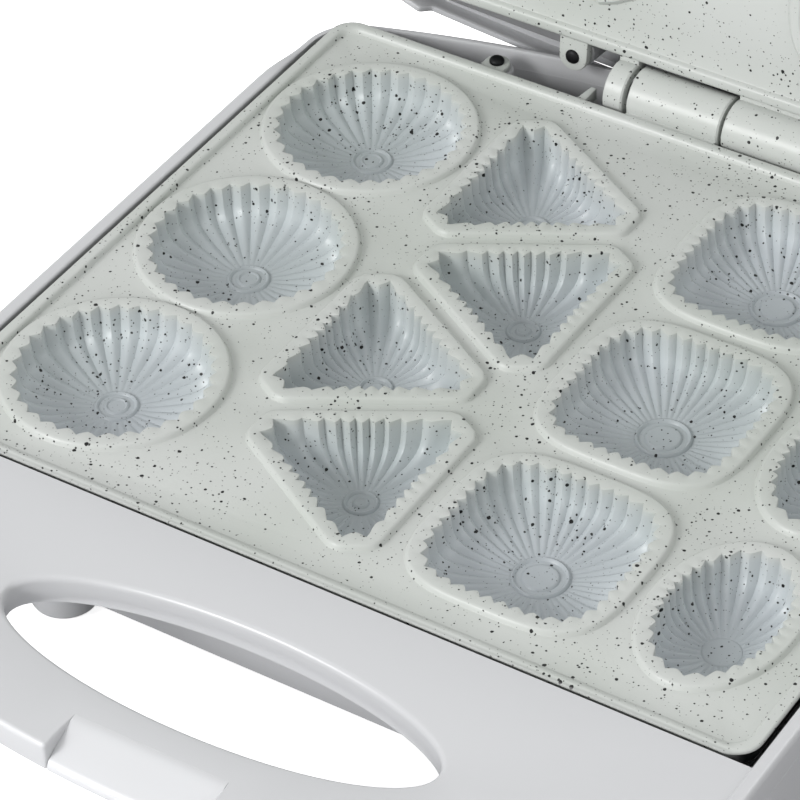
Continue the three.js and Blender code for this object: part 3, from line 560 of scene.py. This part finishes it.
def dished_mould(skin, place):
    """The facing mould in the upper plate: the same border round a shallow smooth dish."""
    t, edge, _ = mould_edge(place, 2)
    steps = [(LAND + STEP_OUT, FIELD_Z), (LAND + STEP_OUT - 0.75, -0.9), (LAND + STEP_OUT - 1.8, 0.0)]
    step = [land_loop(place, out, z, 2) for out, z in steps]
    skin.rings(step)
    fall = [(0.3, 0.0), (-0.2, -0.15), (-1.0, -0.9), (-2.2, -2.0), (-4.0, -2.9), (-7.0, -3.4)]
    dish = [around_mould(place, t, edge + out, z) for out, z in fall]
    skin.rings([step[-1], dish[0]], smooth=False)
    skin.rings(dish, ("last",))
    return step[0]


def cup_back(skin, place, depth):
    """The outside of a mould under the plate, smooth, with its bottom closed."""
    t, edge, _ = mould_edge(place, 1)
    fall = [
        (1.0, 2.0, UNDER_Z), (1.0, 1.2, -depth * 0.62), (0.9, 1.0, -depth * 0.95),
        (0.72, 0, -depth - 2.2), (0.5, 0, -depth - 2.5),
    ]
    rings = [around_mould(place, t, edge * share + out, z) for share, out, z in fall]
    skin.rings(rings, ("last",))
    return rings[0]


# the raised border and its rolled edge: (inset, height, share of the near-black tint, and both along the
# front). The tint is partly bare casting and partly painted shade in the gap under the roll.
ROLL = (
    (4.75, -2.0, 0, -2.0, 0.02), (4.45, -1.85, 0, -1.9, 0.04), (4.2, -1.1, 0, -1.8, 0.05),
    (3.85, -0.35, 0, -1.6, 0.05), (3.3, -0.04, 0, -1.25, 0.04), (2.6, 0.0, 0, -0.8, 0),
    (1.9, -0.03, 0, -0.52, 0), (1.3, -0.07, 0, -0.5, 0), (0.75, -0.14, 0, -0.72, 0.28),
    (0.3, -0.42, 0.05, -1.1, 0.5), (0.0, -1.1, 0.5, -1.55, 0.6), (0.3, -1.5, 1, -1.9, 0.6),
    (0.9, -2.3, 1, -2.4, 0.6), (0.9, -4.6, 1, -4.6, 0.7), (1.3, -5.6, 1, -5.6, 1),
    (2.2, UNDER_Z, 1, UNDER_Z, 1),
)


def plate_casting(fluted):
    """A plate: level field, raised border with a rolled edge, lands with moulds, and the underside.

    Along the front, away from the corners, the border takes its front heights and a stronger near-black tint,
    partly bare casting and partly painted shade.
    """
    skin = Skin()
    make = fluted_mould if fluted else dished_mould
    places = mould_places()
    feet = [make(skin, place) for place in places]
    rim, edge = [], []
    for inset, z, bare_and_shade, front_z, front_bare_and_shade in ROLL:
        corner = max(PLATE_CORNER - inset, 5.5)
        loop = rounded_rectangle(PLATE_HALF - inset, inset, PLATE_DEPTH - inset, corner)
        from_middle = np.abs(loop[:, 0])
        at_front = (1 - ease(loop[:, 1], 2, 9)) * (1 - ease(from_middle, PLATE_HALF - 9, PLATE_HALF - 3))
        rim.append(lift(loop, z * (1 - at_front) + front_z * at_front))
        edge.append(-bare_and_shade * (1 - at_front) - front_bare_and_shade * at_front)
    skin.rings(rim, depth=np.array(edge))
    skin.flat(rim[0], feet, FIELD_Z)
    cups = [cup_back(skin, place, KINDS[place[0]][1]) for place in places] if fluted else []
    skin.flat(rim[-1], cups, UNDER_Z)
    return skin


def lug(skin, x, r, top):
    """A flat tab with a round end behind the plate."""
    front = PLATE_DEPTH - 2
    path = np.vstack([[[x + r, front]], arc(x, LUG_REACH, r, r, 0, 180, 15), [[x - r, front]]])
    slab(skin, path, LUG_TOP - LUG_THICK, top, 0.6)


def web(skin, x0, x1, back, top):
    """The flat web that ties a barrel or a hook to its plate."""
    front = PLATE_DEPTH - 2
    slab(skin, np.array([[x0, front], [x1, front], [x1, back], [x0, back]]), -5.4, top, 0.4)


def barrel(skin, x0, x1):
    """A hinge barrel: a cylinder with softened ends, and its web."""
    soft = 0.5
    profile = [
        (BORE_R, x0), (BARREL_R - soft, x0), (BARREL_R, x0 + soft),
        (BARREL_R, x1 - soft), (BARREL_R - soft, x1), (BORE_R, x1),
    ]
    turned_about_hinge(skin, profile, 40)
    web(skin, x0 + 0.4, x1 - 0.4, HINGE_Y - 1, -0.9)


def hook(skin, x0, x1):
    """An open hook over the rod: a strap whose section is carried from the plate's edge over the top."""
    soft = 0.5
    section = [
        (x0, HOOK_R + soft), (x0, BARREL_R - soft), (x0 + soft, BARREL_R), (x1 - soft, BARREL_R),
        (x1, BARREL_R - soft), (x1, HOOK_R + soft), (x1 - soft, HOOK_R), (x0 + soft, HOOK_R),
    ]
    rings = [
        [[x, HINGE_Y + r * math.cos(angle), PARTING + r * math.sin(angle)] for x, r in section]
        for angle in np.radians(np.linspace(190, 44, 20))
    ]
    skin.rings(rings, ("first", "last"))
    web(skin, x0, x1, HINGE_Y - 5.8, -0.6)


def hinge_rod():
    """The ground rod through the barrels; its chamfered ends lie inside the two hooks."""
    skin = Skin()
    soft = 0.4
    end = ROD_END
    profile = [(ROD_R - soft, -end), (ROD_R, soft - end), (ROD_R, end - soft), (ROD_R - soft, end)]
    turned_about_hinge(skin, profile, 32)
    piece("ground_hinge_rod", skin, "base", GROUND_STEEL, ["hinge_rod"])


def lower_plate():
    """The fluted plate with two low lugs, the left barrel, the right hook and a small stop behind it."""
    skin = plate_casting(True)
    for x in (-LUG_WIDE, LUG_NEAR):
        lug(skin, x, LUG_R - 1.6, LOW_LUG_TOP)
    barrel(skin, -BARREL_OUT, -BARREL_IN)
    hook(skin, HOOK_IN, HOOK_OUT - 4)
    stop = [[-52, PLATE_DEPTH - 1], [-48.6, PLATE_DEPTH - 1], [-48.6, 245], [-50.6, 245]]
    slab(skin, np.array(stop), UNDER_Z, -1.6, 0.4)
    piece("lower_plate_casting", skin, "base", COATING, ["lower_baking_plate"])


def upper_plate():
    """Laid out as the lower plate is and mirrored with the lid: two lugs, the right barrel, the left hook."""
    skin = plate_casting(False)
    for x in (-LUG_NEAR, LUG_WIDE):
        lug(skin, x, LUG_R - 0.8, LUG_TOP)
    barrel(skin, BARREL_IN, BARREL_OUT)
    hook(skin, 4 - HOOK_OUT, -HOOK_IN)
    piece("upper_plate_casting", skin, "lid", COATING, ["upper_baking_plate"], lid_turn)


# ---- housings ----
def back_y(x):
    """The bowed back edge: Y falls off with X squared."""
    return BACK_Y - BACK_BOW * x**2


CUT_FROM, CUT_TO = 115.6, 119.2     # where the lid's back wall is cut away
CUT_STEPS = np.linspace(CUT_FROM, CUT_TO, 10) / (HALF_W - BODY_CORNER)
BACK_SHARES = np.unique(np.concatenate([np.linspace(-1, 1, 91)[1:-1], CUT_STEPS, -CUT_STEPS]))[::-1]


def back_run(inset):
    """The plan from the right side, at y = 3 + inset, round the bowed back to the same on the left side."""
    side, r, count = HALF_W - inset, BODY_CORNER, 40
    turn, corner_y = side - r, back_y(side) - inset
    right = np.stack([np.full(count, side), np.linspace(3 + inset, corner_y - r, count)], 1)
    corner = bend((side, corner_y - r), (side, corner_y), (turn, back_y(turn) - inset), 12)
    x = BACK_SHARES * turn
    middle = np.stack([x, back_y(x) - inset], 1)
    half = np.vstack([right, corner])
    return np.vstack([half, middle, half[::-1] * [-1, 1]])


def body_plan(inset):
    """Closed plan of the body under the handle's level: the back run, and a straight front."""
    side, front = HALF_W - inset, BODY_FRONT + inset
    start = [[-side, front + 2], [-side + 0.6, front + 0.6], [-side + 2, front]]
    end = [[side - 2, front], [side - 0.6, front + 0.6], [side, front + 2]]
    return np.vstack([back_run(inset), start, end])


def handle_front(x):
    """The bowed front edge of the handle: Y rises with X squared."""
    return HANDLE_FRONT + HANDLE_BOW * x**2


def handle_run(notch_half, notch_back):
    """The plan from the left side, at y = -2, round the handle's front to the right side. A notch for the
    latch is cut into the middle of the front."""
    turn, corner_y = HALF_W - HANDLE_CORNER, handle_front(HALF_W)
    left = np.stack([np.full(14, -HALF_W), np.linspace(-2, corner_y + HANDLE_CORNER, 14)], 1)
    corner = bend((-HALF_W, corner_y + HANDLE_CORNER), (-HALF_W, corner_y), (-turn, handle_front(turn)), 14)
    x = np.linspace(-turn, -notch_half - 2, 36)[1:]
    edge = np.stack([x, handle_front(x)], 1)
    y = handle_front(notch_half)
    tip = bend((-notch_half - 2, handle_front(notch_half + 2)), (-notch_half, y), (-notch_half, y + 2), 6)
    wall = np.stack([np.full(9, -notch_half), np.linspace(y + 2, notch_back, 9)], 1)[1:]
    half = np.vstack([left, corner, edge, tip, wall])
    inner = np.stack([np.linspace(-notch_half, notch_half, 13)[1:-1], np.full(11, notch_back)], 1)
    return np.vstack([half, inner, half[::-1] * [-1, 1]])


def ease(x, low, high):
    """0 below low, 1 above high, smooth between."""
    t = np.clip((x - low) / (high - low), 0, 1)
    return t * t * (3 - 2 * t)


def rim_ring(skin, plan, top, bead, bottom):
    """The housing's upper wall: a rounded bead carried round the plan, its height, width and foot varying.

    shape gives the bead's outline as (share of its width, height under the top). Where the wall is low, the
    heights shrink with it.
    """
    normal = inward(plan)
    shape = [
        (0.01, -2.2), (0.03, -1.2), (0.1, -0.5), (0.22, -0.12), (0.37, 0.0),
        (0.78, -0.03), (0.9, -0.15), (0.98, -0.55), (1.0, -1.1),
    ]
    limit = np.clip((top - bottom) / 4, 0.02, 1)
    rings = [lift(plan + normal * (RIM_LEAN * (RIM_Z - bottom))[:, None], bottom)]
    rings += [lift(plan + normal * (bead * share)[:, None], top + dz * limit) for share, dz in shape]
    inner = np.minimum(bead, 3.0)
    rings.append(lift(plan + normal * bead[:, None], np.minimum(top - 1.6 * limit, CEILING_Z + 1.5)))
    rings.append(lift(plan + normal * inner[:, None], np.minimum(top - 2 * limit, CEILING_Z)))
    rings.append(lift(plan + normal * (inner + 0.3)[:, None], bottom))
    skin.rings(rings, wrap=True)


def deck_slab(skin, boundary):
    """The handle's deck: a level top and ceiling, and the grip opening with a rounded edge between them."""
    steps = [
        (2.0, DECK_Z), (1.0, DECK_Z - 0.27), (0.27, DECK_Z - 1.0), (0.0, DECK_Z - 2.0), (0.0, SHELF_Z + 0.8),
        (0.25, SHELF_Z + 0.2), (0.8, SHELF_Z), (3.0, SHELF_Z), (3.0, CEILING_Z),
    ]
    grip = [lift(arc(0, GRIP_Y, GRIP_A + out, GRIP_B + out, 0, 360, 97)[:-1], z) for out, z in steps]
    skin.rings(grip)
    skin.flat(boundary, [grip[0]], DECK_Z)
    skin.flat(boundary, [grip[-1]], CEILING_Z)
    skin.rings([lift(boundary, DECK_Z), lift(boundary, CEILING_Z)], smooth=False)


def upper_walls(skin, relief, notch_half, notch_back, slope):
    """Rim, bead and handle of one housing. Returns the heights of the rim's foot at the body plan's points.

    relief gives the rim's height along the back. In the notch the bead is narrow and widens with the depth of
    the ramp, which sinks by slope.
    """
    plan = np.vstack([back_run(0), handle_run(notch_half, notch_back)])
    x, y = plan.T
    at_back = ease(y, 196, 222)
    in_front = 1 - ease(y, -74, -48)
    in_notch = (np.abs(x) < notch_half + 0.01) & (y < -20)
    side_top = RIM_Z * (1 - in_front) + DECK_Z * in_front
    top = side_top * (1 - at_back) + relief(x) * at_back
    bead = BEAD * (1 - at_back) * (1 - in_front) + BACK_BEAD * at_back + FRONT_BEAD * in_front
    sunk = np.clip((RAMP_BACK - y) * slope + 0.05, 0.05, 3) / 3
    bead *= np.where(in_notch, 0.3 + 0.4 * sunk, 1)
    bottom = np.minimum(SHELF_Z, top - 6)
    rim_ring(skin, plan, top, bead, bottom)

    share = 0.42 * in_front + 0.97 * (1 - in_front)
    edge = (plan + inward(plan) * (bead * share)[:, None])[y < -1]
    deck_slab(skin, np.vstack([edge, [edge[-1, 0], DECK_BACK], [edge[0, 0], DECK_BACK]]))

    along_back = len(back_run(0))
    along_front = len(body_plan(0)) - along_back
    return np.concatenate([bottom[:along_back], np.full(along_front, float(SHELF_Z))])


def leaning(inset, z):
    """The body's plan moved inwards and lifted, by one amount or by one for each point."""
    plan = body_plan(0)
    step = body_plan(1) - plan
    return lift(plan + step * np.asarray(inset).reshape(-1, 1), z)


def lean(z, foot, taper):
    """How far a wall stands inside the plan at that height: none at the rim, taper at its foot."""
    return taper * (RIM_Z - z) / (RIM_Z - foot)


def flank(heights, low, foot, taper):
    """Rings down the outside of a body, from the rim's foot to low."""
    levels = [heights * (1 - share) + low * share for share in (0.0, 0.5, 1.0)]
    return [leaning(lean(z, foot, taper), z) for z in levels]


def boss(skin, x, foot):
    """The round boss that a lug is screwed to."""
    turned(skin, [(5.5, foot), (5.5, -5.9), (4.9, -5.3)], x, LUG_REACH, 24)


def base_rim(x):
    """The base's back rim lies lower, and dips a little behind the hinge."""
    return BACK_RIM_Z - 0.5 * np.clip(1 - (x / 68) ** 2, 0, 1)


def lid_rim(x):
    """The lid's back wall is cut away between its corners, so that it clears the base's wall as it opens:
    each millimetre behind the hinge takes a millimetre off the wall, over the clearance."""
    behind = np.maximum(back_y(x) - HINGE_Y, 0)
    blend = 1 - ease(np.abs(x), CUT_FROM, CUT_TO)
    return RIM_Z * (1 - blend) + (PARTING - behind - LID_CLEARANCE) * blend


def ramp_wedge(skin):
    """The sloping floor of the catch recess: a profile in Y and Z carried across X, with a soft front lip.
    The front of the profile follows the bow of the handle."""
    slope = [
        (0.3, 0.0), (-0.8, -0.08), (-2.0, -0.45), (-3.4, -1.15),
        (-8.0, -3.5), (-12.6, -5.75), (-13.8, -6.5), (-14.5, -7.6),
    ]
    lip = [(-14.7, SHELF_Z + 0.4), (-14.4, SHELF_Z), (-11.5, SHELF_Z), (-11.5, CEILING_Z)]
    profile = [(0.3, CEILING_Z)] + [(y, DECK_Z + down) for y, down in slope] + lip
    rings = [
        [[x, RAMP_BACK + y + (HANDLE_BOW * x**2 if y < -10 else 0), z] for y, z in profile]
        for x in np.linspace(-RAMP_HALF - 0.1, RAMP_HALF + 0.1, 21)
    ]
    skin.rings(rings, ("first", "last"))


def lower_housing():
    """The base's shell, open underneath: leaning walls with a soft lower corner, the ramp and two bosses."""
    skin = Skin()
    heights = upper_walls(skin, base_rim, RAMP_HALF, RAMP_BACK, RAMP_SLOPE)
    corner = ((0.35, 0.35), (1.2, 0), (WALL, 0), (WALL, 2))
    rings = flank(heights, BASE_FLOOR_Z + 1.2, BASE_FLOOR_Z, BASE_TAPER)
    rings += [leaning(BASE_TAPER + inset, BASE_FLOOR_Z + up) for inset, up in corner]
    rings.append(leaning(lean(heights, BASE_FLOOR_Z, BASE_TAPER) + WALL, heights))
    skin.rings(rings, wrap=True)
    ramp_wedge(skin)
    foot = BASE_FLOOR_Z + 3
    for x in (-LUG_WIDE, LUG_NEAR):
        boss(skin, x, foot)
        behind = back_y(x) - 2
        rib = [[x - 1.2, LUG_REACH], [x + 1.2, LUG_REACH], [x + 1.2, behind], [x - 1.2, behind]]
        slab(skin, np.array(rib), foot, -14, 0.3)
    piece("base_shell", skin, "base", SHELL, ["lower_housing"])


def lid_housing():
    """The lid's shell, laid out as the base is and then mirrored, so that its floor is the lid's crowned top.
    The crown is a quarter circle, drawn in a little more towards the top."""
    skin = Skin()
    heights = upper_walls(skin, lid_rim, RAMP_HALF + 0.5, LID_NOTCH_BACK, 1.0)
    foot = LID_TOP_Z + LID_CROWN
    outer = flank(heights, foot, foot, LID_TAPER)
    for angle in np.radians([15, 30, 45, 60, 75, 90]):
        inset = LID_TAPER + LID_CROWN * (1 - math.cos(angle)) + 1.2 * math.sin(angle)
        outer.append(leaning(inset, foot - LID_CROWN * math.sin(angle)))
    inner = [
        leaning(lean(heights, foot, LID_TAPER) + WALL, heights),
        leaning(LID_TAPER + WALL, foot),
        leaning(LID_TAPER + LID_CROWN, LID_TOP_Z + WALL),
    ]
    skin.rings(outer[::-1] + inner, ("first", "last"))
    for x in (-LUG_NEAR, LUG_WIDE):
        boss(skin, x, LID_TOP_Z + 4)
    piece("lid_shell", skin, "lid", SHELL, ["lid_housing"], lid_turn)


# ---- small pieces ----
def in_layout(box):
    """The low and high corners of a box, turned to layout millimetres."""
    return [np.array(corner) / MM - ORIGIN for corner in box]


def feet():
    """Turned feet: a short cone with a soft lower edge round a hollow, and a rubber pad in the hollow."""
    for side in ("left", "right"):
        for end in ("front", "rear"):
            low, high = in_layout(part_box(f"foot_{end}_{side}"))
            x, y = (low[:2] + high[:2]) / 2
            edge = low[2] - 1.2
            profile = [
                (10.9, high[2]), (10.8, high[2] - 3), (10.6, edge + 1.2), (10.2, edge + 0.4), (9.5, edge),
                (8.4, edge), (8.2, edge + 0.3), (8.2, low[2]),
            ]
            skin = Skin()
            turned(skin, profile, x, y, 40)
            piece(f"turned_foot_{end}_{side}", skin, "base", SHELL, [f"foot_{end}_{side}"])
            low, high = in_layout(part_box(f"foot_pad_{end}_{side}"))
            profile = [(7.6, high[2]), (7.8, high[2] - 0.4), (7.8, low[2] + 0.5), (7.3, low[2])]
            skin = Skin()
            turned(skin, profile, x, y, 40)
            piece(f"rubber_pad_{end}_{side}", skin, "base", RUBBER, [f"foot_pad_{end}_{side}"])


def plate_screw(name, body, x, seat, turn):
    """A pan-head screw: a low dome over a shank."""
    skin = Skin()
    shank = [(1.5, seat - 16), (1.5, seat)]
    head = [(2.5, seat), (2.5, seat + 0.7), (2.1, seat + 1.3), (1.2, seat + 1.6)]
    turned(skin, shank + head, x, LUG_REACH, 24)
    piece(name + "_pan_head", skin, body, BLACK_STEEL, [name], turn)


def kept_nodes():
    """CAD nodes that show as they are, each with the finish of the real piece."""
    finishes = {
        "lower_handle_cover": SHELL, "base_cover": SHELL, "lid_handle_cover": SHELL, "latch_clip": SHELL,
        "latch_pin": GROUND_STEEL, "lower_heating_element": SHEATH,
        "upper_heating_element": SHEATH, "lower_heat_shield": SHEET_METAL, "upper_heat_shield": SHEET_METAL,
        "thermostat": NICKEL, "thermal_fuse": CERAMIC, "terminal_block": CERAMIC, "lamp_holder": CERAMIC,
        "thermostat_lead": BRAID, "element_lead": BRAID, "cord_gland": GLAND_RUBBER,
        "lamp_lens_power": RED_LENS, "lamp_lens_ready": GREEN_LENS,
        "cover_screw_1": BLACK_STEEL, "cover_screw_2": BLACK_STEEL, "cover_screw_3": BLACK_STEEL,
        "cover_screw_4": BLACK_STEEL,
    }
    for name, material in finishes.items():
        node = frame["nodes"][name]
        node.data.materials.clear()
        node.data.materials.append(material)


# ---- stage ----
def set_up(made, right, up, back, place):
    """Links an object into the scene at a place in metres, with its own axes along the three directions."""
    axes = np.column_stack([right, up, back, place])
    made.matrix_world = Matrix(np.vstack([axes, [0, 0, 0, 1]]).tolist())
    bpy.context.scene.collection.objects.link(made)


def camera():
    """A long lens to the front right, looking down at the plate."""
    yaw, tilt, roll = map(math.radians, (CAMERA_YAW, CAMERA_TILT, CAMERA_ROLL))
    ahead = np.array([-math.sin(yaw) * math.cos(tilt), math.cos(yaw) * math.cos(tilt), -math.sin(tilt)])
    level = np.array([math.cos(yaw), math.sin(yaw), 0])
    upright = np.cross(level, ahead)
    right = level * math.cos(roll) + upright * math.sin(roll)
    up = upright * math.cos(roll) - level * math.sin(roll)
    data = bpy.data.cameras.new("camera")
    data.lens, data.sensor_width = LENS, SENSOR
    data.clip_start, data.clip_end = 0.05, 20
    made = bpy.data.objects.new("camera", data)
    set_up(made, right, up, -ahead, (np.array(CAMERA_PLACE) + ORIGIN) * MM)
    bpy.context.scene.camera = made


def soft_box(name, place, target, size, power):
    """A rectangular light at a place, turned to a target, in metres and watts. The camera doesn't see it."""
    data = bpy.data.lights.new(name, "AREA")
    data.shape = "RECTANGLE"
    data.size, data.size_y = size
    data.energy = power
    made = bpy.data.objects.new(name, data)
    made.visible_camera = False
    away = np.array(place, float) - np.array(target, float)
    away /= np.linalg.norm(away)
    across = np.cross([0, 0, 1], away)
    across /= np.linalg.norm(across)
    set_up(made, across, np.cross(away, across), away, place)


def seen_or_lit(owner, output, seen, lit):
    """Sends one shader to what the camera sees and another to what lights the object."""
    path = add(owner, "ShaderNodeLightPath")
    links = {0: path.outputs["Is Camera Ray"], 1: lit.outputs[0], 2: seen.outputs[0]}
    mix = add(owner, "ShaderNodeMixShader", links=links)
    join(owner, mix.outputs[0], owner.node_tree.nodes[output], "Surface")


def paper_floor():
    """White paper under the object, brighter to the camera than it is as a source of light."""
    half = 4
    mesh = bpy.data.meshes.new("floor")
    corners = [(-half, -half, 0), (half, -half, 0), (half, half, 0), (-half, half, 0)]
    mesh.from_pydata(corners, [], [(0, 1, 2, 3)])
    floor = bpy.data.objects.new("floor", mesh)
    bpy.context.scene.collection.objects.link(floor)
    material, shader = finish_of(
        "white_paper", "#fbfbfb", Roughness=0.9, Emission_Color=WHITE, Emission_Strength=0.8
    )
    dull = add(material, "ShaderNodeBsdfDiffuse", {"Color": linear("#a6a6a8")})
    seen_or_lit(material, "Material Output", shader, dull)
    mesh.materials.append(material)


def surroundings():
    """Soft white surroundings that are brighter above and to the left front, and white to the camera."""
    world = bpy.data.worlds.new("studio")
    world.use_nodes = True
    direction = add(world, "ShaderNodeTexCoord").outputs["Generated"]
    settings = {"operation": "DOT_PRODUCT", 1: (-0.4, -0.3, 0.87)}
    toward = add(world, "ShaderNodeVectorMath", settings, {0: direction})
    level = add(
        world, "ShaderNodeMapRange", {"From Min": -0.55, "From Max": 0.9, "To Min": 0.34, "To Max": 0.8},
        {"Value": toward.outputs["Value"]},
    )
    soft = add(world, "ShaderNodeBackground", {"Color": WHITE}, {"Strength": level.outputs["Result"]})
    white = add(world, "ShaderNodeBackground", {"Color": WHITE, "Strength": 1.0})
    seen_or_lit(world, "World Output", white, soft)
    bpy.context.scene.world = world


def stage():
    """White studio: floor, surroundings and four soft boxes."""
    paper_floor()
    surroundings()
    soft_box("key", (-0.9, -1.9, 1.2), (0, 0, 0.1), (0.8, 0.8), 36)
    soft_box("fill", (1.9, -0.9, 0.9), (0, 0, 0.1), (1.2, 0.8), 7)
    soft_box("low", (-0.1, -0.62, 0.02), (0, -0.2, 0.045), (0.6, 0.03), 0.8)
    soft_box("back", (0.2, 1.5, 1.7), (0, 0, 0.1), (1.4, 0.6), 11)
    bpy.context.scene.view_settings.view_transform = "Standard"


lower_plate()
upper_plate()
hinge_rod()
lower_housing()
lid_housing()
feet()
plate_screw("lower_plate_screw_left", "base", -LUG_WIDE, LOW_SEAT_Z, shut)
plate_screw("lower_plate_screw_right", "base", LUG_NEAR, LOW_SEAT_Z, shut)
plate_screw("upper_plate_screw_left", "lid", -LUG_NEAR, SEAT_Z, lid_turn)
plate_screw("upper_plate_screw_right", "lid", LUG_WIDE, SEAT_Z, lid_turn)
kept_nodes()
camera()
stage()
